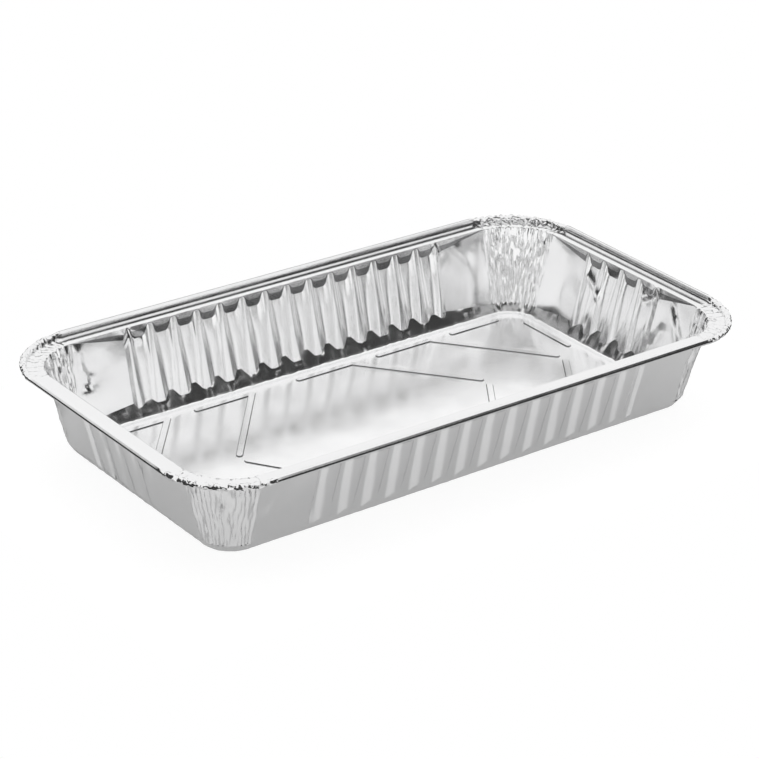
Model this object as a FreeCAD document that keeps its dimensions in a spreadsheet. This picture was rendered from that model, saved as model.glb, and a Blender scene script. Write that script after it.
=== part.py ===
import FreeCAD, Part
import Sketcher
import math
import os
import re

# An oblong tray pressed from one blank of aluminium foil. The drafted walls are fluted between
# plain end panels, stand on a slanted band round the flat floor, and end in an upright shoulder
# under the flange. The flange carries a shallow gutter and a rolled bead. At the corners, where the
# blank has too much length, the foil is gathered into pleats. Ribs in the floor make two chevrons.
#
# Every level outline is a rounded rectangle about the same four corner centres, so a place is
# given as its reach: the distance outward from the rectangle that joins those centres.

os.makedirs("parts", exist_ok=True)
V = FreeCAD.Vector
doc = FreeCAD.newDocument("foil_tray")

# Driving dimensions, in millimetres and degrees.
SIZES = [
    # the whole tray, over the rolled bead
    ("tray_length", 322.0),
    ("tray_width", 182.0),
    ("tray_height", 46.0),
    ("rim_corner", 38.0),
    # the sheet, drawn stouter than real foil
    ("foil", 0.25),
    # rim: flat flange, rolled bead, and how far the flange lies below the top of the bead
    ("rim_width", 11.0),
    ("bead_size", 3.0),
    ("flange_drop", 2.4),
    ("curl_end", 70.0),
    ("lip_width", 2.0),
    ("gutter_depth", 0.5),
    # wall: draft from the vertical, upright band under the flange, slanted band over the floor
    ("wall_draft", 14.5),
    ("shoulder", 0.8),
    ("cove", 4.0),
    # flutes pressed outward into the wall, narrower at the foot, with ridges left between them
    ("flute_pitch", 13.3),
    ("flute_depth", 1.9),
    ("flute_head", 5.6),
    ("flute_foot", 3.4),
    ("flute_flank", 56.0),
    ("flute_root", 1.0),
    ("end_ridge", 1.0),
    ("long_flutes", 14),
    ("short_flutes", 4),
    # pleats of the gathered corners, on the wall and on the flange
    ("gathers", 8),
    ("gather_depth", 0.9),
    ("gather_root", 0.2),
    ("gather_gap", 0.1),
    ("fold_height", 0.25),
    ("fold_width", 1.4),
    # ribs embossed in the floor
    ("rib_width", 3.0),
    ("rib_height", 0.8),
    ("rib_inset", 6.6),
    ("rib_piece", 32.0),
    ("rib_break", 15.0),
    ("rib_corner", 5.0),
    ("chevron_start", 30.0),
    ("chevron_pitch", 49.0),
    ("chevron_run", 42.0),
    ("chevron_gap", 7.0),
    ("chevron_shift", -4.5),
    ("chevron_rise", 5.0),
]

# Sizes that follow from them: the corner centres, the level of the flange, reaches of the wall at
# its head, at its foot and at the floor's edge, and the lines of the ribs beside the walls.
DERIVED = [
    ("half_long", "tray_length / 2 - rim_corner"),
    ("half_short", "tray_width / 2 - rim_corner"),
    ("flange_level", "tray_height - flange_drop"),
    ("band_reach", "rim_corner - rim_width"),
    ("draft_slope", "tan(wall_draft * 1 deg)"),
    ("wall_reach", "band_reach + shoulder * draft_slope"),
    ("foot_reach", "wall_reach - flange_level * draft_slope"),
    ("cove_reach", "foot_reach - cove * (1 - draft_slope)"),
    ("rib_long", "half_long + cove_reach - rib_inset"),
    ("rib_short", "half_short + cove_reach - rib_inset"),
]

sheet = doc.addObject("Spreadsheet::Sheet", "sizes")
for row, (alias, value) in enumerate(SIZES, 1):
    sheet.set("A%d" % row, alias)
    sheet.set("B%d" % row, str(value))
    sheet.setAlias("B%d" % row, alias)
for row, (alias, formula) in enumerate(DERIVED, len(SIZES) + 1):
    sheet.set("A%d" % row, alias)
    sheet.set("B%d" % row, "=" + formula)
    sheet.setAlias("B%d" % row, alias)
doc.recompute()

ALIASES = re.compile(r"\b(%s)\b" % "|".join(alias for alias, _ in SIZES + DERIVED))


def size(text):
    return sheet.evalExpression(text)


def bound(text):
    """The same formula, as an object outside the sheet has to write it."""
    return ALIASES.sub(r"sizes.\1", text)


def origin(body, role):
    return next(f for f in body.Origin.OriginFeatures if f.Role == role)


def new_sketch(body, name, role, **offsets):
    """An empty sketch on one of the body's own planes, moved by formulas such as z="cove"."""
    sketch = body.newObject("Sketcher::SketchObject", name)
    sketch.AttachmentSupport = (origin(body, role), "")
    sketch.MapMode = "FlatFace"
    for axis, formula in offsets.items():
        sketch.setExpression("AttachmentOffset.Base." + axis, bound(formula))
    return sketch


def lock(sketch, places):
    """Holds points of a sketch, each given as (geometry, point, x formula, y formula)."""
    rules, formulas = [], []
    for geometry, point, x, y in places:
        for kind, text in (("DistanceX", x), ("DistanceY", y)):
            rules.append(Sketcher.Constraint(kind, -1, 1, geometry, point, size(text)))
            formulas.append(text)
    first = sketch.ConstraintCount
    sketch.addConstraint(rules)
    for row, text in enumerate(formulas, first):
        sketch.setExpression("Constraints[%d]" % row, bound(text))


def polygon(sketch, corners):
    """A closed outline through corners, each a pair of formulas."""
    spots = [V(size(x), size(y)) for x, y in corners]
    first, count = sketch.GeometryCount, len(corners)
    sketch.addGeometry([Part.LineSegment(a, b) for a, b in zip(spots, spots[1:] + spots[:1])])
    sketch.addConstraint([Sketcher.Constraint("Coincident", first + (i - 1) % count, 2, first + i, 1)
                          for i in range(count)])
    lock(sketch, [(first + i, 1, x, y) for i, (x, y) in enumerate(corners)])


def rounded_outline(sketch, reach):
    """A rounded rectangle, everywhere this reach outside the rectangle of corner centres."""
    radius = size(reach)
    x, y = size("half_long"), size("half_short")
    quarter = math.pi / 2
    signs = ((1, -1), (1, 1), (-1, 1), (-1, -1))
    outward = (V(1, 0), V(0, 1), V(-1, 0), V(0, -1))
    for i, (sx, sy) in enumerate(signs):
        nx, ny = signs[(i + 1) % 4]
        circle = Part.Circle(V(sx * x, sy * y), V(0, 0, 1), radius)
        sketch.addGeometry(Part.ArcOfCircle(circle, (i - 1) * quarter, i * quarter))
        along = outward[i] * radius
        sketch.addGeometry(Part.LineSegment(V(sx * x, sy * y) + along, V(nx * x, ny * y) + along))
    for i, (sx, sy) in enumerate((("", "-"), ("", ""), ("-", ""), ("-", "-"))):
        arc, line = 2 * i, 2 * i + 1
        lock(sketch, [(arc, 3, sx + "half_long", sy + "half_short")])
        row = sketch.addConstraint(Sketcher.Constraint("Radius", arc, radius))
        sketch.setExpression("Constraints[%d]" % row, bound(reach))
        sketch.addConstraint(Sketcher.Constraint("Tangent", arc, 2, line, 1))
        sketch.addConstraint(Sketcher.Constraint("Tangent", line, 2, (arc + 2) % 8, 1))


def assign(feature, values):
    """Sets a feature's properties. A text value is a formula, and others are set as they are."""
    for key, value in values.items():
        if isinstance(value, str):
            feature.setExpression(key, bound(value))
        else:
            setattr(feature, key, value)


def add(body, kind, name, **values):
    """One more feature of the body."""
    feature = body.newObject("PartDesign::" + kind, name)
    assign(feature, values)
    doc.recompute()
    return feature


def faces(feature, test):
    return ["Face%d" % i for i, f in enumerate(feature.Shape.Faces, 1) if test(f)]


def edges(feature, test):
    return ["Edge%d" % i for i, e in enumerate(feature.Shape.Edges, 1) if test(e)]


# The room inside the envelope: upright under the flange and slanted over the floor.
envelope = doc.addObject("PartDesign::Body", "envelope")
sketch = new_sketch(envelope, "envelope_outline", "XY_Plane")
rounded_outline(sketch, "band_reach")
block = add(envelope, "Pad", "envelope_block", Profile=sketch, Length="flange_level")
low = edges(block, lambda e: e.BoundBox.ZMax < size("foil"))
add(envelope, "Chamfer", "cove_slope", Base=(block, low), Size="band_reach - cove_reach")

# The drafted tub.
tray = doc.addObject("PartDesign::Body", "foil_tray")
sketch = new_sketch(tray, "wall_outline", "XY_Plane", z="flange_level")
rounded_outline(sketch, "wall_reach")
block = add(tray, "Pad", "tub_block", Profile=sketch, Length="flange_level", Reversed=True)
top = faces(block, lambda f: f.normalAt(0, 0).z > 0.5)
sides = faces(block, lambda f: abs(f.normalAt(0, 0).z) < 0.5)
add(tray, "Draft", "wall_draft", Base=(block, sides), NeutralPlane=(block, top),
    Angle="wall_draft * 1 deg", Reversed=True)


def pattern(name, feature, *steps):
    """Copies one feature by rows, turns and mirrors, each given as (kind, values)."""
    whole = tray.newObject("PartDesign::MultiTransform", name)
    whole.Originals = [feature]
    parts = []
    for i, (kind, values) in enumerate(steps):
        step = tray.newObject("PartDesign::" + kind, "%s_step_%d" % (name, i))
        assign(step, values)
        parts.append(step)
    whole.Transformations = parts
    tray.Tip = whole
    doc.recompute()
    return whole


def mirror(role):
    """A step of a pattern: the mirror image across the body's plane with this role."""
    return "Mirrored", {"MirrorPlane": (origin(tray, role), [""])}


def pressed(name, side, foot, head):
    """A flute or panel, from its outline at the floor to its outline at the flange. Corners are
    (along the wall, outward from the wall)."""
    sections = []
    for level, wall, corners in (("0", "foot_reach", foot), ("flange_level", "wall_reach", head)):
        sketch = new_sketch(tray, "%s_at_%s" % (name, wall), "XY_Plane", z=level)
        if side == "long":
            polygon(sketch, [(along, "half_short + %s + %s" % (wall, out)) for along, out in corners])
        else:
            polygon(sketch, [("half_long + %s + %s" % (wall, out), along) for along, out in corners])
        sections.append(sketch)
    return add(tray, "AdditiveLoft", name, Profile=sections[0], Sections=sections[1:], Ruled=True)


FLARE = "tan(flute_flank * 1 deg)"


def flute_corners(middle, floor):
    """A flute's outline about its middle, with this width at its bottom."""
    wide = "(%s / 2 + (flute_depth + flute_root) * %s)" % (floor, FLARE)
    narrow = "%s / 2" % floor
    return [("%s - %s" % (middle, wide), "-flute_root"), ("%s + %s" % (middle, wide), "-flute_root"),
            ("%s + %s" % (middle, narrow), "flute_depth"), ("%s - %s" % (middle, narrow), "flute_depth")]


for side, count, role, across, along in (
        ("long", "long_flutes", "X_Axis", "XZ_Plane", "YZ_Plane"),
        ("short", "short_flutes", "Y_Axis", "YZ_Plane", "XZ_Plane")):
    first = "-(%s - 1) / 2 * flute_pitch" % count
    foot, head = (flute_corners(first, width) for width in ("flute_foot", "flute_head"))
    flute = pressed(side + "_flute", side, foot, head)
    row = {"Direction": (origin(tray, role), [""]),
           "Length": "(%s - 1) * flute_pitch" % count,
           "Occurrences": int(size(count))}
    pattern(side + "_flutes", flute, ("LinearPattern", row), mirror(across))
    start = "(%s / 2 * flute_pitch + end_ridge / 2" % count
    corner = "half_long" if side == "long" else "half_short"
    panel = [(start + " - flute_root * %s)" % FLARE, "-flute_root"), (corner, "-flute_root"),
             (corner, "0"), (start + " + flute_depth * %s)" % FLARE, "flute_depth")]
    pattern(side + "_ends", pressed(side + "_end", side, panel, panel), mirror(along), mirror(across))


def turn_to_gather(sketch, axis):
    """Turns a sketch that stands on a corner's upright axis, so that it looks along the first pleat."""
    sketch.AttachmentOffset = FreeCAD.Placement(sketch.AttachmentOffset.Base, FreeCAD.Rotation(axis, 1))
    sketch.setExpression("AttachmentOffset.Rotation.Angle", bound("45 deg / gathers"))


def round_corners(name, feature, sketch, axis):
    """Repeats one pleat round its corner, and the corner at the other three."""
    turn = {"Axis": (sketch, [axis]), "Angle": "90 deg * (gathers - 1) / gathers",
            "Occurrences": int(size("gathers"))}
    return pattern(name, feature, ("PolarPattern", turn), mirror("XZ_Plane"), mirror("YZ_Plane"))


# Pleats of the gathered corners. Each is a wedge that widens up the wall as the corner does.
sections = []
for level, wall in (("0", "foot_reach"), ("flange_level", "wall_reach")):
    sketch = new_sketch(tray, "gather_at_" + wall, "XY_Plane", x="half_long", y="half_short", z=level)
    turn_to_gather(sketch, V(0, 0, 1))
    share = "%s / wall_reach" % wall
    half = "(wall_reach * tan(45 deg / gathers) - gather_gap) * " + share
    inner = "(wall_reach - gather_root) * " + share
    polygon(sketch, [(inner, "-" + half), ("(wall_reach + gather_depth) * " + share, "0"), (inner, half)])
    sections.append(sketch)
gather = add(tray, "AdditiveLoft", "gather", Profile=sections[0], Sections=sections[1:], Ruled=True)
round_corners("wall_gathers", gather, sections[0], "N_Axis")

common = tray.newObject("PartDesign::Boolean", "shoulder_and_cove")
common.Type = "Common"
common.Group = [envelope]
doc.recompute()


def rib_outline(sketch, start, end):
    """One straight rib with clipped ends. Start and end are pairs of formulas."""
    a, b = (V(size(x), size(y)) for x, y in (start, end))
    turn = math.atan2(b.y - a.y, b.x - a.x)
    corners = []
    for spot, facing in ((end, turn), (start, turn + math.pi)):
        for ahead, aside in ((0, -2), (1, -1), (1, 1), (0, 2)):
            x = (ahead * math.cos(facing) - aside * math.sin(facing)) / 4
            y = (ahead * math.sin(facing) + aside * math.cos(facing)) / 4
            corners.append(tuple("%s + %.12f * rib_width" % pair for pair in zip(spot, (x, y))))
    polygon(sketch, corners)


edge_ribs = new_sketch(tray, "edge_rib_outlines", "XY_Plane")
leg_ribs = new_sketch(tray, "leg_rib_outlines", "XY_Plane")
for bank in ("", "-"):
    beside = bank + "rib_short"
    for way in (-1, 1):
        for step in (0, 1):
            # a rib beside the wall, and a chevron's leg that leaves its end
            spot = "(chevron_shift + %d * (chevron_start + %d * chevron_pitch))" % (way, step)
            rib_outline(edge_ribs, (spot + " - rib_piece", beside), (spot, beside))
            tip = "%s + %d * chevron_run" % (spot, way)
            rib_outline(leg_ribs, (spot, beside), (tip, "chevron_rise + %s1 * chevron_gap / 2" % bank))
    rib_outline(edge_ribs, (spot + " + rib_break", beside), ("half_long - rib_corner", beside))
    for end in ("", "-"):
        rib_outline(edge_ribs, (end + "rib_long", bank + "(half_short - rib_corner)"),
                    (end + "rib_long", bank + "rib_break"))
doc.recompute()
add(tray, "Pocket", "edge_ribs", Profile=edge_ribs, Length="rib_height", Reversed=True)
legs = add(tray, "Pocket", "leg_ribs", Profile=leg_ribs, Length="rib_height", Reversed=True)

open_top = faces(legs, lambda f: f.CenterOfMass.z > size("flange_level - foil"))
add(tray, "Thickness", "sheet", Base=(legs, open_top), Value="foil", Mode=0, Join=1, Reversed=True)

# Rim: the same section along each side and round each corner.
AXIS_OUT = "(rim_corner - bead_size / 2)"
AXIS_UP = "(tray_height - bead_size / 2)"
LIP = "(band_reach + lip_width)"
GUTTER = "((%s + %s - bead_size / 2) / 2)" % (LIP, AXIS_OUT)
UNDER = "flange_level - foil"
CURL_STEPS = 8


def joint_angle(radius, level):
    """Where a circle about the bead's axis meets the flange at this level, on its inner side."""
    return "(180 deg + asin((%s - (%s)) / (%s)))" % (AXIS_UP, level, radius)


def curl(radius, level):
    """Corners along one side of the rolled foil, from the flange at this level to the free edge."""
    joint = joint_angle(radius, level)
    for step in range(CURL_STEPS + 1):
        angle = "(%s - (%s + curl_end * 1 deg) * %d / %d)" % (joint, joint, step, CURL_STEPS)
        yield "%s + %s * cos(%s)" % (AXIS_OUT, radius, angle), "%s + %s * sin(%s)" % (AXIS_UP, radius, angle)


def rim_section(name, role, start, **offsets):
    """The foil's section from the inside of the wall out to the free edge of the bead."""
    sketch = new_sketch(tray, name, role, **offsets)
    wall = "band_reach - foil"
    spots = [(wall, "flange_level"), (LIP, "flange_level"), (GUTTER, "flange_level - gutter_depth")]
    spots += curl("(bead_size / 2)", "flange_level")
    spots += reversed(list(curl("(bead_size / 2 - foil)", UNDER)))
    spots += [(GUTTER, UNDER + " - gutter_depth"), (LIP, UNDER), (wall, UNDER)]
    polygon(sketch, [("%s + %s" % (start, out), up) for out, up in spots])
    return sketch


sketch = rim_section("long_rim_section", "YZ_Plane", "half_short")
long_rim = add(tray, "Pad", "long_rim", Profile=sketch, Length="2 * half_long", Midplane=True)
pattern("long_rims", long_rim, mirror("XZ_Plane"))
sketch = rim_section("short_rim_section", "XZ_Plane", "half_long")
short_rim = add(tray, "Pad", "short_rim", Profile=sketch, Length="2 * half_short", Midplane=True)
pattern("short_rims", short_rim, mirror("YZ_Plane"))
sketch = rim_section("corner_rim_section", "XZ_Plane", "0", x="half_long", z="-half_short")
corner_rim = add(tray, "Revolution", "corner_rim", Profile=sketch, ReferenceAxis=(sketch, ["V_Axis"]),
                 Angle=90.0, Reversed=False)
pattern("corner_rims", corner_rim, mirror("XZ_Plane"), mirror("YZ_Plane"))

# Folds of the gathered flange: strips that stand proud of it, from the wall to the bead.
sketch = new_sketch(tray, "fold_section", "XZ_Plane", x="half_long", z="-half_short")
turn_to_gather(sketch, V(0, 1, 0))
joint_reach = "%s + bead_size / 2 * cos(%s)" % (AXIS_OUT, joint_angle("(bead_size / 2)", "flange_level"))
line = [("band_reach", "flange_level"), (LIP, "flange_level"), (GUTTER, "flange_level - gutter_depth"),
        (joint_reach, "flange_level")]
polygon(sketch, [(out, up + " - foil / 2") for out, up in line]
        + [(out, up + " + fold_height") for out, up in reversed(line)])
fold = add(tray, "Pad", "fold", Profile=sketch, Length="fold_width", Midplane=True)
round_corners("flange_folds", fold, sketch, "V_Axis")

tray.Label = "foil_tray"
tray.Placement = FreeCAD.Placement()
doc.recompute()

for thing in doc.Objects:
    if "Invalid" in thing.State or "Error" in thing.State:
        raise RuntimeError("%s failed: %s" % (thing.Name, thing.State))
if tray.Shape.isNull() or not tray.Shape.isValid() or len(tray.Shape.Solids) != 1:
    raise RuntimeError("the tray is not one valid solid")
tray.Shape.exportStep("parts/%s.step" % tray.Label)
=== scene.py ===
import math

import bpy
import numpy as np
from mathutils import Matrix, Vector
from mathutils.geometry import delaunay_2d_cdt


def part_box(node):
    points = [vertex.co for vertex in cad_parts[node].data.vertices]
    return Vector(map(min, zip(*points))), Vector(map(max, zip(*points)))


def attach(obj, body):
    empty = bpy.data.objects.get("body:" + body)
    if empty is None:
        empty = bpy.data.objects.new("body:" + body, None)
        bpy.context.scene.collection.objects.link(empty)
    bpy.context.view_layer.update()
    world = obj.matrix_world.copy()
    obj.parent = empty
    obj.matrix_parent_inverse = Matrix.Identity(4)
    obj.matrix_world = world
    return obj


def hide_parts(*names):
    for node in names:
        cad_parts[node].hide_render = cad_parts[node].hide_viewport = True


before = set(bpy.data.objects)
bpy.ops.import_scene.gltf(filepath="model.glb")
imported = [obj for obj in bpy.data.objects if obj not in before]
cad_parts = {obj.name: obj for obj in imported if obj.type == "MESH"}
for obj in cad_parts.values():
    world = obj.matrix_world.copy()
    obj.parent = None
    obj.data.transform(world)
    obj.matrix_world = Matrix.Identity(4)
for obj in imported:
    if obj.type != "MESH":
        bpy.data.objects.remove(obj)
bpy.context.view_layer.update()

# Sizes are in millimetres until a mesh is made. Z is up, and the tray stands on z = 0.
MM = 0.001

low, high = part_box("foil_tray")
LENGTH, WIDTH, HEIGHT = ((high[i] - low[i]) / MM for i in range(3))

# Every outline of the tray is a rounded rectangle about the same four corner centres.
# "Reach" is the distance outward from the rectangle that joins those centres.
RIM_CORNER = 38.0
HALF_LONG = LENGTH / 2 - RIM_CORNER
HALF_SHORT = WIDTH / 2 - RIM_CORNER

# The sheet and its section: rim, upright shoulder under it, drafted wall, slanted cove, floor.
FOIL = 0.25
BEAD_RADIUS = 1.5
FLANGE_DROP = 2.4
RIM_WIDTH = 11.0
FLANGE_LEVEL = HEIGHT - FLANGE_DROP
BAND_REACH = RIM_CORNER - RIM_WIDTH
DRAFT = math.tan(math.radians(14.5))
SHOULDER = 0.8
COVE = 4.8
COVE_LEAN = 1 / math.tan(math.radians(53))
COVE_KNEE = 0.6
LIP = 2.0
GUTTER = 0.5
CURL_END = math.radians(-70)
WALL_FOOT = BAND_REACH - (FLANGE_LEVEL - SHOULDER) * DRAFT
COVE_REACH = WALL_FOOT - COVE * (COVE_LEAN - DRAFT)

# The mesh is the foil's upper face, so the wall and the cove lie inside those outer reaches.
WALL_INSIDE = WALL_FOOT - FOIL * math.hypot(1, DRAFT)
COVE_INSIDE = COVE_REACH - FOIL * (math.hypot(1, COVE_LEAN) - COVE_LEAN)
BAND_INSIDE = BAND_REACH - FOIL

# Flutes: narrow ridges stand into the tray between wide valleys.
PITCH = 13.3
LONG_FLUTES = 14
SHORT_FLUTES = 4
FLUTE_DEPTH = 1.9
RIDGE_HEAD, RIDGE_FOOT = 1.2, 2.2
FLANK_HEAD, FLANK_FOOT = 2.2, 3.7
FLUTE_PLACES = (0, 0.8, 1.4, 2.1, 2.9, 4.1, 5.4, 7.9, 9.2, 10.4, 11.2, 11.9, 12.5)
PANEL_COLUMNS = 18
CORNER_COLUMNS = 88

# A flute's recess is this share of FLUTE_DEPTH at its head. Over the last flutes before an end
# panel, a run of this many pitches, head and foot lose these further shares.
HEAD_SHARE = 0.86
FADE_RUN = 1.6
HEAD_FADE, FOOT_FADE = 0.08, 0.4

# A flank is part straight and part rounded at its ends, in these shares.
STRAIGHT, ROUNDED = 0.7, 0.3

# What a column outside the flutes has for its distance to a ridge, more than any real one, and
# the rounding error allowed where the flutes end.
NO_RIDGE = 99.0
ROUNDING = 1e-6

# Rows of the section. The floor's rounded rim gives distance in from the knee and height; cove,
# shoulder and gutter are cut at shares of their length. The shares of the shoulder count up to
# SHOULDER_END under the flange.
FLOOR_RIM = ((2.4, 0), (1.2, 0.1), (0.4, 0.3))
COVE_SHARES = (0.0, 0.3, 0.6, 0.9)
WALL_STEPS = 19
SHOULDER_SHARES = (0.0, 0.12, 0.55)
SHOULDER_END = 0.25
GUTTER_SHARES = (0.3, 0.5, 0.7)
CURL_ROWS = 10


def smooth(t):
    t = np.clip(t, 0, 1)
    return t * t * (3 - 2 * t)


def waves(seed, count, shortest, longest, squash=(1, 1, 1)):
    """A smooth random field of unit size: a sum of plane waves, each with its own direction."""
    rng = np.random.default_rng(seed)
    direction = rng.normal(size=(count, 3)) * squash
    direction /= np.linalg.norm(direction, axis=1)[:, None]
    length = np.exp(rng.uniform(math.log(shortest), math.log(longest), count))
    k = direction * (2 * math.pi / length)[:, None]
    phase = rng.uniform(0, 2 * math.pi, count)

    def field(points):
        return np.sin(points @ k.T + phase).sum(-1) * math.sqrt(2 / count)

    return field


class Perimeter:
    """The walls and corners, cut into columns. Each has an anchor on the inner rectangle and an
    outward direction, its place along its own wall, and its share of flute, panel or corner."""

    NAMES = ("anchor", "out", "wall", "along", "ridge", "panel", "corner", "turn")

    def __init__(self):
        for name in self.NAMES:
            setattr(self, name, [])

    def put(self, anchor, angle, wall, along=0.0, ridge=NO_RIDGE, panel=0.0, corner=0.0, turn=0.0):
        out = (math.cos(angle), math.sin(angle))
        values = (anchor, out, wall, along, ridge, panel, corner, turn)
        for name, value in zip(self.NAMES, values):
            getattr(self, name).append(value)

    def side(self, wall, start, end, angle, flutes):
        """One straight wall, from a corner centre to the next: plain panel, flutes, plain panel."""
        start, end = np.array(start, float), np.array(end, float)
        span = np.linalg.norm(end - start)
        ahead = (end - start) / span
        crease = span / 2 - flutes * PITCH / 2
        places = [crease * i / PANEL_COLUMNS for i in range(PANEL_COLUMNS)]
        for flute in range(flutes):
            places += [crease + flute * PITCH + f for f in FLUTE_PLACES]
        places += [span - crease * i / PANEL_COLUMNS for i in range(PANEL_COLUMNS, 0, -1)]
        for p in places:
            inside = p - crease
            fluted = -ROUNDING <= inside <= flutes * PITCH + ROUNDING
            ridge = abs(inside - round(inside / PITCH) * PITCH) if fluted else NO_RIDGE
            panel = 1.0 if fluted else min(p, span - p) / crease
            self.put(start + ahead * p, angle, wall, along=p - span / 2, ridge=ridge, panel=panel)

    def bend(self, wall, centre, angle):
        """One rounded corner, a quarter turn onward from this angle."""
        for i in range(CORNER_COLUMNS):
            t = i / CORNER_COLUMNS
            self.put(np.array(centre, float), angle + t * math.pi / 2, wall, corner=1.0, turn=t)

    def finish(self):
        """Turns the lists into arrays, once all columns are there."""
        for name in self.NAMES:
            setattr(self, name, np.array(getattr(self, name), float))


FRONT, FRONT_RIGHT, RIGHT, BACK_RIGHT, BACK, BACK_LEFT, LEFT, FRONT_LEFT = range(8)
round_it = Perimeter()
round_it.side(FRONT, (-HALF_LONG, -HALF_SHORT), (HALF_LONG, -HALF_SHORT), -math.pi / 2, LONG_FLUTES)
round_it.bend(FRONT_RIGHT, (HALF_LONG, -HALF_SHORT), -math.pi / 2)
round_it.side(RIGHT, (HALF_LONG, -HALF_SHORT), (HALF_LONG, HALF_SHORT), 0, SHORT_FLUTES)
round_it.bend(BACK_RIGHT, (HALF_LONG, HALF_SHORT), 0)
round_it.side(BACK, (HALF_LONG, HALF_SHORT), (-HALF_LONG, HALF_SHORT), math.pi / 2, LONG_FLUTES)
round_it.bend(BACK_LEFT, (-HALF_LONG, HALF_SHORT), math.pi / 2)
round_it.side(LEFT, (-HALF_LONG, HALF_SHORT), (-HALF_LONG, -HALF_SHORT), math.pi, SHORT_FLUTES)
round_it.bend(FRONT_LEFT, (-HALF_LONG, -HALF_SHORT), math.pi)
round_it.finish()


def recess(ridge_half, flank_width):
    """How far outward each column lies from the ridge plane, for ridges of this half width."""
    flank = np.clip((round_it.ridge - ridge_half) / flank_width, 0, 1)
    flute = FLUTE_DEPTH * (STRAIGHT * flank + ROUNDED * smooth(flank))
    crease = np.clip(round_it.panel, 0, 1) * FLUTE_DEPTH
    return np.where(round_it.ridge < PITCH, flute, crease)


# Toward the end panels the flutes get shallower, most of all at the foot.
span = np.where(np.isin(round_it.wall, (FRONT, BACK)), LONG_FLUTES, SHORT_FLUTES) * PITCH / 2
fade = 1 - smooth((span - abs(round_it.along)) / (FADE_RUN * PITCH))
fade = np.where(round_it.corner > 0, 0, fade)
head = recess(RIDGE_HEAD, FLANK_HEAD) * (HEAD_SHARE - HEAD_FADE * fade)
foot = recess(RIDGE_FOOT, FLANK_FOOT) * (1 - FOOT_FADE * fade)
band_level = (BAND_INSIDE - WALL_INSIDE - head) / DRAFT
cove_rise = (WALL_INSIDE + FOIL * DRAFT + foot - COVE_INSIDE) / (COVE_LEAN - DRAFT)
cove_level = FOIL + cove_rise
knee_reach = COVE_INSIDE + COVE_KNEE * COVE_LEAN
FLOOR_EDGE = knee_reach - FLOOR_RIM[0][0]

# The section, row by row from the floor's edge to the free edge of the bead: reach and level of
# every column.
flat = 0 * foot
rows = [(knee_reach - spread + flat, FOIL + rise + flat) for spread, rise in FLOOR_RIM]
KNEE_ROW = len(rows)
for t in COVE_SHARES:
    rise = COVE_KNEE + t * (cove_rise - COVE_KNEE)
    rows.append((COVE_INSIDE + rise * COVE_LEAN, FOIL + rise))
COVE_ROWS = len(rows)
for step in range(WALL_STEPS):
    t = step / WALL_STEPS
    rise = cove_level + t * (band_level - cove_level)
    rows.append((WALL_INSIDE + rise * DRAFT + foot + t * (head - foot), rise))
SHOULDER_ROW = len(rows)
for t in SHOULDER_SHARES:
    rows.append((BAND_INSIDE + flat, band_level + t * (FLANGE_LEVEL - SHOULDER_END - band_level)))
WALL_ROWS = len(rows)
axis = np.array((RIM_CORNER - BEAD_RADIUS, HEIGHT - BEAD_RADIUS))
joint = math.pi + math.asin((axis[1] - FLANGE_LEVEL) / BEAD_RADIUS)
joint_reach = axis[0] + BEAD_RADIUS * math.cos(joint)
lip_end = BAND_REACH + LIP
for bend_reach, lower in ((BAND_INSIDE + 0.02, 0.2), (BAND_REACH + 0.1, 0), (lip_end, 0)):
    rows.append((bend_reach + flat, FLANGE_LEVEL - lower + flat))
for t in GUTTER_SHARES:
    sink = GUTTER * math.sin(math.pi * t)
    rows.append((lip_end + t * (joint_reach - lip_end) + flat, FLANGE_LEVEL - sink + flat))
FLANGE_ROWS = len(rows)
for i in range(CURL_ROWS):
    a = joint + (CURL_END - joint) * i / (CURL_ROWS - 1)
    outward, upward = BEAD_RADIUS * math.cos(a), BEAD_RADIUS * math.sin(a)
    rows.append((axis[0] + outward + flat, axis[1] + upward + flat))

reach = np.array([r for r, _ in rows])
level = np.array([z for _, z in rows])


def place_points():
    return np.stack([round_it.anchor[:, 0] + reach * round_it.out[:, 0],
                     round_it.anchor[:, 1] + reach * round_it.out[:, 1], level], -1)


def share_of(first, last):
    """A column of ones for the rows from first to last, to weigh what happens there."""
    share = np.zeros((len(rows), 1))
    share[first:last] = 1
    return share


on_cove = share_of(1, COVE_ROWS)
on_wall = share_of(COVE_ROWS, WALL_ROWS)
on_flange = share_of(WALL_ROWS - 1, FLANGE_ROWS)
on_bead = share_of(FLANGE_ROWS, len(rows))
climb = np.clip((level - COVE) / (FLANGE_LEVEL - COVE), 0, 1)

# Gathers: the foil has too much length at the corners, so it folds into fine pleats there. They
# are faint at a corner's ends and full about a tenth of the way in.
GATHER_START, GATHER_RISE = 0.15, 8
from_end = np.minimum(round_it.turn, 1 - round_it.turn)
gathered = round_it.corner * smooth(from_end * GATHER_RISE + GATHER_START)
arc = round_it.turn * math.pi / 2 * BAND_REACH


def pleats(seed, pitch, height, wander):
    """Sharp irregular folds across the corner columns, from -1 to 1. No two corners have the
    same ones, because the number of the corner moves it on in the random field."""
    step = 40
    warp = waves(seed, 24, 5, 30)
    apart = step * round_it.wall + 0 * height
    spot = np.stack([arc + 0 * height, height + 0 * arc, apart], -1)
    phase = (spot[..., 0] + wander * warp(spot)) / pitch
    return 2 * np.abs(2 * (phase - np.floor(phase + 0.5))) - 1


# The wall's folds: their depth at its foot, what they gain up to its head, and how far inward
# they are set. The folds of flange and bead: their depth, and the share of it by which they are
# lowered. The bead's dents: their depth inward and downward.
FOLD_FOOT, FOLD_GAIN, FOLD_BACK = 0.34, 0.36, 0.16
CRUSH_DEPTH = 0.05
LIP_FOLD, LIP_DOWN = 0.4, 0.7
BEAD_DENT_IN, BEAD_DENT_DOWN = 0.17, 0.12

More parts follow.
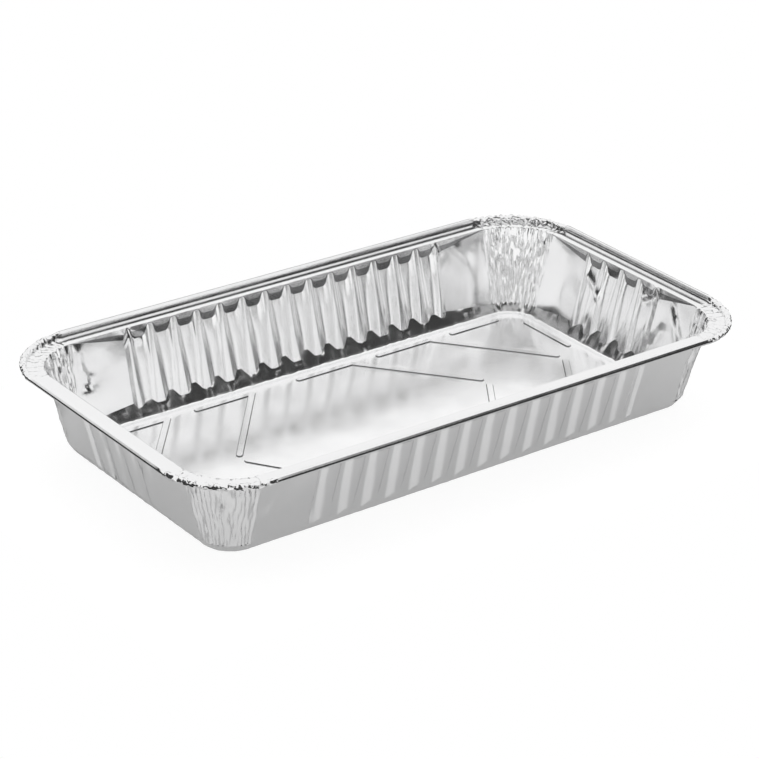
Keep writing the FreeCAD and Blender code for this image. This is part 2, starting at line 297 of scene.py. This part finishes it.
points = place_points()
crush = waves(7, 90, 1.6, 5.0)
streak = waves(17, 60, 1.6, 5.0, (1, 1, 0.07))
folds = 0.5 * pleats(5, 2.6, level, 0.5) + 0.35 * pleats(6, 4.3, level, 0.8) + 0.3 * streak(points)
fold_depth = (FOLD_FOOT + FOLD_GAIN * climb) * folds - FOLD_BACK + CRUSH_DEPTH * crush(points)
reach = reach + gathered * on_wall * fold_depth
lip_folds = 0.6 * pleats(8, 2.9, reach, 0.7) + 0.3 * pleats(18, 1.9, reach, 0.5)
lip_folds = lip_folds + 0.3 * crush(points)
level = level + gathered * (on_flange + on_bead) * LIP_FOLD * (lip_folds - LIP_DOWN)
bead_crush = waves(9, 80, 1.5, 4.5)(points)
reach = reach + gathered * on_bead * BEAD_DENT_IN * (bead_crush - 1.5)
level = level + gathered * on_bead * BEAD_DENT_DOWN * (bead_crush - 1.2)

# Soft waviness of thin sheet, strongest half way up the walls and on the plain panels, and the
# crinkled cove.
SWAY, SWAY_ON_FLUTES = 0.2, 0.4
CRINKLE_OUT, CRINKLE_UP = 0.15, 0.06
sway = waves(11, 40, 18, 60)(points)
plain = round_it.ridge > PITCH
bulge = np.sin(math.pi * climb) * on_wall * (SWAY_ON_FLUTES + (1 - SWAY_ON_FLUTES) * plain)
reach = reach + SWAY * sway * bulge
crinkle = waves(21, 80, 2.0, 7.0)(points)
reach = reach + CRINKLE_OUT * on_cove * crinkle
level = level + CRINKLE_UP * on_cove * crinkle

# Single creases, dents and folds that handling has left in the walls: where each one starts and
# ends, along its wall and up it, its half width and how far it stands into the tray.
CREASES = [
    (BACK, (98, 43), (88, 36), 1.3, 0.9), (BACK, (93, 44), (84, 38), 1.0, -0.6),
    (BACK, (121, 40), (118, 23), 1.5, 0.9), (BACK, (119, 34), (115, 27), 1.2, -0.6),
    (BACK, (121, 20), (114, 22), 0.9, -0.6), (BACK, (-90, 44), (-96, 37), 1.0, 0.8),
    (BACK, (-100, 43), (-112, 30), 2.5, 0.5),
    (RIGHT, (22, 31), (13, 25), 1.5, 0.8), (RIGHT, (-18, 35), (-27, 43), 1.4, 0.9),
    (RIGHT, (-22, 34), (-30, 41), 1.1, -0.7), (RIGHT, (-40, 38), (-48, 24), 1.0, -0.9),
    (RIGHT, (-44, 30), (-49, 20), 1.0, 0.6), (RIGHT, (-30, 14), (-35, 24), 2.0, -0.5),
    (FRONT, (-118, 19), (-113, 30), 0.9, -0.25), (FRONT, (-96, 18), (-93, 8), 1.4, 0.5),
    (LEFT, (-14, 21), (-15, 7), 1.2, 0.6), (LEFT, (6, 29), (6, 14), 1.2, 0.5),
    (LEFT, (19, 31), (13, 12), 1.2, 0.6),
]
for wall, start, end, half_width, depth in CREASES:
    start, end = np.array(start, float), np.array(end, float)
    spot = np.stack([round_it.along + 0 * level, level], -1)
    t = np.clip((spot - start) @ (end - start) / ((end - start) @ (end - start)), 0, 1)
    gap = np.linalg.norm(spot - start - t[..., None] * (end - start), axis=-1)
    here = (round_it.wall == wall) * on_wall * (round_it.corner == 0)
    reach = reach - here * depth * np.exp(-(gap / half_width) ** 2)

points = place_points()

# Floor: ribs embossed upward, along the walls and in two chevrons. LEG_STARTS has the x at which
# a rib along the wall ends and a leg of a chevron starts, and the way the leg runs along x.
# FLAT_REACH is the reach of the floor's edge in the solid.
RIB_HEIGHT = 0.52
RIB_TOP, RIB_FOOT = 1.4, 1.78
FLAT_REACH = 12.97
RIB_INSET = 6.6
RIB_LINE_Y = HALF_SHORT + FLAT_REACH - RIB_INSET
RIB_LINE_X = HALF_LONG + FLAT_REACH - RIB_INSET
RIB_PIECE = 32.0
LEG_STARTS = ((-83.5, -1), (-34.5, -1), (25.5, 1), (74.5, 1))
LEG_RUN = 42.0
CHEVRON_MIDDLE, CHEVRON_HALF_GAP = 5.0, 3.5
LAST_RIB = 89.5
RIB_STOP = 5.0
END_RIB_START = 15.0
RIBS = []
for bank in (1, -1):
    for x, way in LEG_STARTS:
        leg_end = (x + way * LEG_RUN, CHEVRON_MIDDLE + bank * CHEVRON_HALF_GAP)
        RIBS.append(((x - RIB_PIECE, bank * RIB_LINE_Y), (x, bank * RIB_LINE_Y)))
        RIBS.append(((x, bank * RIB_LINE_Y), leg_end))
    RIBS.append(((LAST_RIB, bank * RIB_LINE_Y), (HALF_LONG - RIB_STOP, bank * RIB_LINE_Y)))
    for end in (1, -1):
        far, near = bank * (HALF_SHORT - RIB_STOP), bank * END_RIB_START
        RIBS.append(((end * RIB_LINE_X, far), (end * RIB_LINE_X, near)))
RIBS = [(np.array(a, float), np.array(b, float)) for a, b in RIBS]


def rib_distance(spots):
    """The distance from each spot to the nearest rib's centre line."""
    nearest = np.full(len(spots), np.inf)
    for a, b in RIBS:
        t = np.clip((spots - a) @ (b - a) / ((b - a) @ (b - a)), 0, 1)
        nearest = np.minimum(nearest, np.linalg.norm(spots - a - t[:, None] * (b - a), axis=1))
    return nearest


def outward_of(spots):
    """The reach of each spot on the floor."""
    return np.linalg.norm(np.maximum(abs(spots) - (HALF_LONG, HALF_SHORT), 0), axis=1)


def floor_level(spots):
    """The floor's height: a short ramp up from its edge, a slight uneven rise and the ribs."""
    ramp_height, ramp_run = 0.35, 4.5
    rise_height, rise_wave, rise_run = 0.12, 0.05, 20
    rib = RIB_HEIGHT * np.clip((RIB_FOOT - rib_distance(spots)) / (RIB_FOOT - RIB_TOP), 0, 1)
    level_spots = np.column_stack([spots, np.zeros(len(spots))])
    edge = np.minimum(RIB_LINE_X - abs(spots[:, 0]), RIB_LINE_Y - abs(spots[:, 1]))
    ramp = ramp_height * smooth((FLOOR_EDGE - outward_of(spots)) / ramp_run)
    uneven = rise_height + rise_wave * waves(13, 40, 25, 90)(level_spots)
    return FOIL + rib + ramp + smooth(edge / rise_run) * uneven


def rib_loop(a, b, radius):
    """A rounded outline at this distance round one rib."""
    ahead = (b - a) / np.linalg.norm(b - a)
    aside = np.array((-ahead[1], ahead[0]))
    loop = []
    for end, way in ((b, 1), (a, -1)):
        for turn in range(-90, 91, 30):
            c, s = math.cos(math.radians(turn)), math.sin(math.radians(turn))
            loop.append(end + radius * way * (ahead * c + aside * s))
    return loop


# The flat mesh of the floor: its outline, two loops round each rib and a grid of points between.
count = len(round_it.ridge)
flat_spots = [tuple(p) for p in points[0][:, :2]]
lines = [(i, (i + 1) % count) for i in range(count)]
for a, b in RIBS:
    for radius in (RIB_TOP, RIB_FOOT):
        loop = rib_loop(a, b, radius)
        first = len(flat_spots)
        flat_spots += [tuple(p) for p in loop]
        lines += [(first + i, first + (i + 1) % len(loop)) for i in range(len(loop))]
GRID, GRID_ROW = 4.2, 0.866
GRID_HALF_X, GRID_HALF_Y = 42, 26
CLEAR_OF_EDGE, CLEAR_OF_RIB = 1.2, 0.8
grid = np.array([(GRID * (i + 0.5 * (j % 2)), GRID * GRID_ROW * j)
                 for i in range(-GRID_HALF_X, GRID_HALF_X + 1)
                 for j in range(-GRID_HALF_Y, GRID_HALF_Y + 1)])
inside_edge = outward_of(grid) < FLOOR_EDGE - CLEAR_OF_EDGE
grid = grid[inside_edge & (rib_distance(grid) > RIB_FOOT + CLEAR_OF_RIB)]
flat_spots += [tuple(p) for p in grid]
INSIDE_ONLY, MERGE_WITHIN = 1, 1e-5
found = delaunay_2d_cdt([Vector(p) for p in flat_spots], lines, [], INSIDE_ONLY, MERGE_WITHIN)
floor_spots, floor_faces, sources = found[0], found[2], found[3]

# The whole sheet: the section's rows as rings of faces, and the floor sewn into the first ring.
vertices = points.reshape(-1, 3).tolist()
renumber = {}
heights = floor_level(np.array([tuple(p) for p in floor_spots]))
for i, source in enumerate(sources):
    on_ring = [n for n in source if n < count]
    if on_ring:
        renumber[i] = on_ring[0]
    else:
        renumber[i] = len(vertices)
        vertices.append((floor_spots[i][0], floor_spots[i][1], float(heights[i])))
faces = [tuple(renumber[i] for i in face) for face in floor_faces]
for row in range(len(rows) - 1):
    base = row * count
    for column in range(count):
        after = (column + 1) % count
        faces.append((base + column, base + count + column, base + count + after, base + after))

mesh = bpy.data.meshes.new("tray_sheet")
mesh.from_pydata([(x * MM, y * MM, z * MM) for x, y, z in vertices], [], faces)
mesh.validate()
mesh.polygons.foreach_set("use_smooth", [True] * len(mesh.polygons))
SHARP_ANGLE = math.radians(28)
mesh.set_sharp_from_angle(angle=SHARP_ANGLE)


def crease_row(row):
    """Keeps the fold between two rows crisp all the way round."""
    pairs = np.zeros(len(mesh.edges) * 2, int)
    mesh.edges.foreach_get("vertices", pairs)
    both = (pairs.reshape(-1, 2) // count == row).all(axis=1)
    sharp = mesh.attributes["sharp_edge"]
    marks = np.zeros(len(mesh.edges), bool)
    sharp.data.foreach_get("value", marks)
    sharp.data.foreach_set("value", marks | both)


for row in (KNEE_ROW, COVE_ROWS, SHOULDER_ROW):
    crease_row(row)
tray = bpy.data.objects.new("tray_sheet", mesh)
bpy.context.scene.collection.objects.link(tray)

# Floor, wall, shoulder and rim have each their own tone. The floor's is painted lighter and the rim's and
# shoulder's darker, as painted light and shade. The ribs' edges have the shoulder's painted shade, as
# dark lines.
FLOOR_PAINTED_LIGHT, WALL_TONE, SHOULDER_PAINTED_SHADE, RIM_PAINTED_SHADE = range(4)
TONE_SLOTS = 4
finish = np.full(len(mesh.polygons), FLOOR_PAINTED_LIGHT)
for number, first_row in ((WALL_TONE, 0), (SHOULDER_PAINTED_SHADE, SHOULDER_ROW), (RIM_PAINTED_SHADE, WALL_ROWS - 1)):
    finish[len(floor_faces) + first_row * count:] = number
# The faces along each rib's edge take the shoulder's painted shade, which draws them as dark lines.
centres = np.array([np.mean([vertices[i][:2] for i in face], axis=0)
                    for face in faces[:len(floor_faces)]])
rib_painted_shade = abs(rib_distance(centres) - (RIB_TOP + RIB_FOOT) / 2) < (RIB_FOOT - RIB_TOP) / 2
finish[:len(floor_faces)][rib_painted_shade] = SHOULDER_PAINTED_SHADE
mesh.polygons.foreach_set("material_index", finish)

# The foil's thickness, downward and outward from the mesh. Its outer face takes the second set of tones.
thickness = tray.modifiers.new("foil", "SOLIDIFY")
thickness.thickness = FOIL * MM
thickness.offset = -1
thickness.use_rim = True
thickness.material_offset = TONE_SLOTS


class Nodes:
    """Short ways to add and join shader nodes."""

    def __init__(self, tree):
        self.nodes, self.links = tree.nodes, tree.links

    def add(self, kind, **settings):
        node = self.nodes.new("ShaderNode" + kind)
        for key, value in settings.items():
            setattr(node, key, value)
        return node

    def put(self, node, socket, value):
        """Sets a socket, or links it when the value is another node's output."""
        if isinstance(value, bpy.types.NodeSocket):
            self.links.new(value, node.inputs[socket])
        else:
            node.inputs[socket].default_value = value

    def math(self, operation, a, b=0.0):
        node = self.add("Math", operation=operation)
        self.put(node, 0, a)
        self.put(node, 1, b)
        return node.outputs[0]

    def spread(self, value, start, end, low, high):
        """Maps start..end smoothly onto low..high."""
        node = self.add("MapRange", interpolation_type="SMOOTHSTEP")
        limits = {"From Min": start, "From Max": end, "To Min": low, "To Max": high}
        for socket, number in limits.items():
            node.inputs[socket].default_value = number
        self.put(node, "Value", value)
        return node.outputs["Result"]

    def blend(self, share, first, second):
        """Mixes two shaders: the first alone at a share of 0, the second alone at 1."""
        node = self.add("MixShader")
        self.put(node, 0, share)
        self.put(node, 1, first.outputs[0])
        self.put(node, 2, second.outputs[0])
        return node


# Noise scales are per metre, and levels and bump distance are in metres. Up to FLOOR_LOW, on the
# floor, the foil is a little rougher and its dents are softer. From FLOOR_HIGH on it is neither.
FLOOR_LOW, FLOOR_HIGH = 0.0012, 0.0022
GLOSS_SCALE, ROLLING_SCALE, DENT_SCALE = 60, 900, 170
ROUGH_LOW, ROUGH_HIGH, ROUGH_WORN = 0.12, 0.18, 0.06
ROLLING_SHARE = 0.12
CALM_DENTS = 0.25
BUMP_STRENGTH, BUMP_DISTANCE = 0.2, 0.0002
BLUISH = 0.003


def foil_material(name, tone):
    """Bright rolled foil: fine rolling lines, soft dents and a slightly uneven gloss."""
    material = bpy.data.materials.new(name)
    material.use_nodes = True
    kit = Nodes(material.node_tree)
    shader = kit.nodes["Principled BSDF"]
    shader.inputs["Metallic"].default_value = 1.0
    shader.inputs["Base Color"].default_value = (tone, tone, tone + BLUISH, 1)
    place = kit.add("TexCoord").outputs["Object"]

    def noise(scale, detail, stretch=(1, 1, 1)):
        mapping = kit.add("Mapping")
        mapping.inputs["Scale"].default_value = stretch
        kit.put(mapping, "Vector", place)
        node = kit.add("TexNoise")
        kit.put(node, "Vector", mapping.outputs[0])
        node.inputs["Scale"].default_value = scale
        node.inputs["Detail"].default_value = detail
        return node.outputs["Fac"]

    axes = kit.add("SeparateXYZ")
    kit.put(axes, 0, place)
    worn = kit.spread(axes.outputs["Z"], FLOOR_LOW, FLOOR_HIGH, ROUGH_WORN, 0.0)
    calm = kit.spread(axes.outputs["Z"], FLOOR_LOW, FLOOR_HIGH, CALM_DENTS, 1.0)
    gloss = kit.spread(noise(GLOSS_SCALE, 3), 0.3, 0.7, ROUGH_LOW, ROUGH_HIGH)
    kit.put(shader, "Roughness", kit.math("ADD", gloss, worn))
    rolling = kit.math("MULTIPLY", noise(ROLLING_SCALE, 2, (0.03, 1, 0.3)), ROLLING_SHARE)
    dents = kit.math("MULTIPLY", noise(DENT_SCALE, 2), calm)
    bump = kit.add("Bump")
    bump.inputs["Strength"].default_value = BUMP_STRENGTH
    bump.inputs["Distance"].default_value = BUMP_DISTANCE
    kit.put(bump, "Height", kit.math("ADD", rolling, dents))
    kit.put(shader, "Normal", bump.outputs[0])
    return material


# Real foil has one tone. These differ because they are painted reflections of the surroundings it would
# mirror: the floor is painted lighter, the rim a little darker and the shoulder much darker, as painted
# shade. First the inner face's tones, in the order of their numbers, then the outer face's, where only
# the rim differs from the rest.
INNER_TONES = {"foil_floor_painted_light": 0.98, "foil": 0.93, "foil_shoulder_painted_shade": 0.4, "foil_rim_painted_shade": 0.88}
OUTER_TONE = 0.91
inner = [foil_material(name, tone) for name, tone in INNER_TONES.items()]
outer = [foil_material("foil_outside", OUTER_TONE)] * RIM_PAINTED_SHADE + [inner[RIM_PAINTED_SHADE]]
for material in inner + outer:
    tray.data.materials.append(material)
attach(tray, "root")
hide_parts("foil_tray")

# The studio: a white table just larger than the tray, with light above, behind and in front of
# it, and dark sides. Behind and in front are meant along this level line, which is the line of
# sight of the photograph. It is fixed to the tray and doesn't follow the camera.
TABLE_MARGIN = 42.0
LIGHT_LINE = (0.606, 0.795, 0)
DARK_LEVEL, BRIGHT_LEVEL = 0.04, 1.0

# The table shows the camera mostly plain white, with a share of its own shading for the tray's
# shadow. Reflections see partly through it, to the light below.
TABLE_GLOW, GLOW_SHARE = 1.13, 0.8
CLEAR_TO_GLOSS = 0.6
BELOW_LEVEL = 0.85

# The zones of the light by facing or rise: start, end, and the shares of light at those two.
BEHIND = (0.15, 0.4, 0, 1)
BEFORE = (-0.68, -0.45, 1, 0)
LOW_BEFORE = (0.38, 0.52, 1, 0)
CEILING, CEILING_FADE = (0.62, 0.72, 0, 1), (-0.6, -0.25, 0.45, 1)
BELOW, BELOW_FADE = (-0.6, -0.5, 1, 0), (-0.42, -0.1, 0.85, 0.6)


def studio_floor():
    """A white table top."""
    x, y = (LENGTH / 2 + TABLE_MARGIN) * MM, (WIDTH / 2 + TABLE_MARGIN) * MM
    mesh = bpy.data.meshes.new("studio_floor")
    mesh.from_pydata([(-x, -y, 0), (x, -y, 0), (x, y, 0), (-x, y, 0)], [], [(0, 1, 2, 3)])
    floor = bpy.data.objects.new("studio_floor", mesh)
    bpy.context.scene.collection.objects.link(floor)
    material = bpy.data.materials.new("studio_floor")
    material.use_nodes = True
    kit = Nodes(material.node_tree)
    kit.nodes.clear()
    out = kit.add("OutputMaterial")
    paper = kit.add("BsdfDiffuse")
    paper.inputs["Color"].default_value = (0.9, 0.9, 0.9, 1)
    glow = kit.add("Emission")
    glow.inputs["Strength"].default_value = TABLE_GLOW
    ray = kit.add("LightPath")
    glowing = kit.math("MULTIPLY", ray.outputs["Is Camera Ray"], GLOW_SHARE)
    clear = kit.math("MULTIPLY", ray.outputs["Is Glossy Ray"], CLEAR_TO_GLOSS)
    white = kit.blend(glowing, paper, glow)
    seen = kit.blend(clear, white, kit.add("BsdfTransparent"))
    kit.put(out, "Surface", seen.outputs[0])
    floor.data.materials.append(material)


def studio_world():
    """Light by direction: rise is its height, from -1 to 1, and facing is how much of it runs
    along the light line, away from the photograph's camera."""
    world = bpy.data.worlds.new("studio")
    bpy.context.scene.world = world
    world.use_nodes = True
    kit = Nodes(world.node_tree)
    kit.nodes.clear()
    out = kit.add("OutputWorld")
    direction = kit.add("TexCoord").outputs["Generated"]
    axes = kit.add("SeparateXYZ")
    kit.put(axes, 0, direction)
    rise = axes.outputs["Z"]
    along = kit.add("VectorMath", operation="DOT_PRODUCT")
    kit.put(along, 0, direction)
    kit.put(along, 1, LIGHT_LINE)
    facing = along.outputs["Value"]

    behind = kit.spread(facing, *BEHIND)
    before = kit.math("MULTIPLY", kit.spread(facing, *BEFORE), kit.spread(rise, *LOW_BEFORE))
    ceiling = kit.math("MULTIPLY", kit.spread(rise, *CEILING), kit.spread(facing, *CEILING_FADE))
    above = kit.math("MAXIMUM", kit.math("MAXIMUM", behind, before), ceiling)
    below = kit.math("MULTIPLY", kit.spread(rise, *BELOW), kit.spread(facing, *BELOW_FADE))

    under = kit.math("LESS_THAN", rise, 0.0)
    over = kit.math("SUBTRACT", 1.0, under)
    light = kit.math("ADD", kit.math("MULTIPLY", above, over),
                     kit.math("MULTIPLY", below, kit.math("MULTIPLY", under, BELOW_LEVEL)))
    sky = kit.add("Background")
    sky.inputs["Color"].default_value = (1, 1, 1, 1)
    kit.put(sky, "Strength", kit.spread(light, 0, 1, DARK_LEVEL, BRIGHT_LEVEL))
    white = kit.add("Background")
    white.inputs["Color"].default_value = (1, 1, 1, 1)
    seen = kit.blend(kit.add("LightPath").outputs["Is Camera Ray"], sky, white)
    kit.put(out, "Surface", seen.outputs[0])


def photo_camera():
    """The photograph's camera: its bearing, height and roll in radians, and its distance and
    shifts in half tray lengths, fitted to the tray's outlines. The frame is square."""
    half_length = LENGTH / 2 * MM
    bearing, height, roll = -0.651, 0.4496, 0.0223
    distance, shift_right, shift_up = 8.4135, 0.0063, -0.1268
    focal_pixels, frame_pixels = 2825.57, 759
    level_part = math.cos(height)
    back = Vector((math.sin(bearing) * level_part, -math.cos(bearing) * level_part, math.sin(height)))
    level_right = Vector((math.cos(bearing), math.sin(bearing), 0))
    level_up = back.cross(level_right)
    right = math.cos(roll) * level_right + math.sin(roll) * level_up
    up = math.cos(roll) * level_up - math.sin(roll) * level_right
    data = bpy.data.cameras.new("photo_camera")
    data.sensor_width = 36
    data.lens = focal_pixels / frame_pixels * data.sensor_width
    camera = bpy.data.objects.new("photo_camera", data)
    bpy.context.scene.collection.objects.link(camera)
    place = half_length * (distance * back - shift_right * right - shift_up * up)
    turn = Matrix((right, up, back)).transposed().to_4x4()
    camera.matrix_world = Matrix.Translation(place) @ turn
    bpy.context.scene.camera = camera


studio_floor()
studio_world()
photo_camera()
bpy.context.scene.view_settings.view_transform = "Standard"
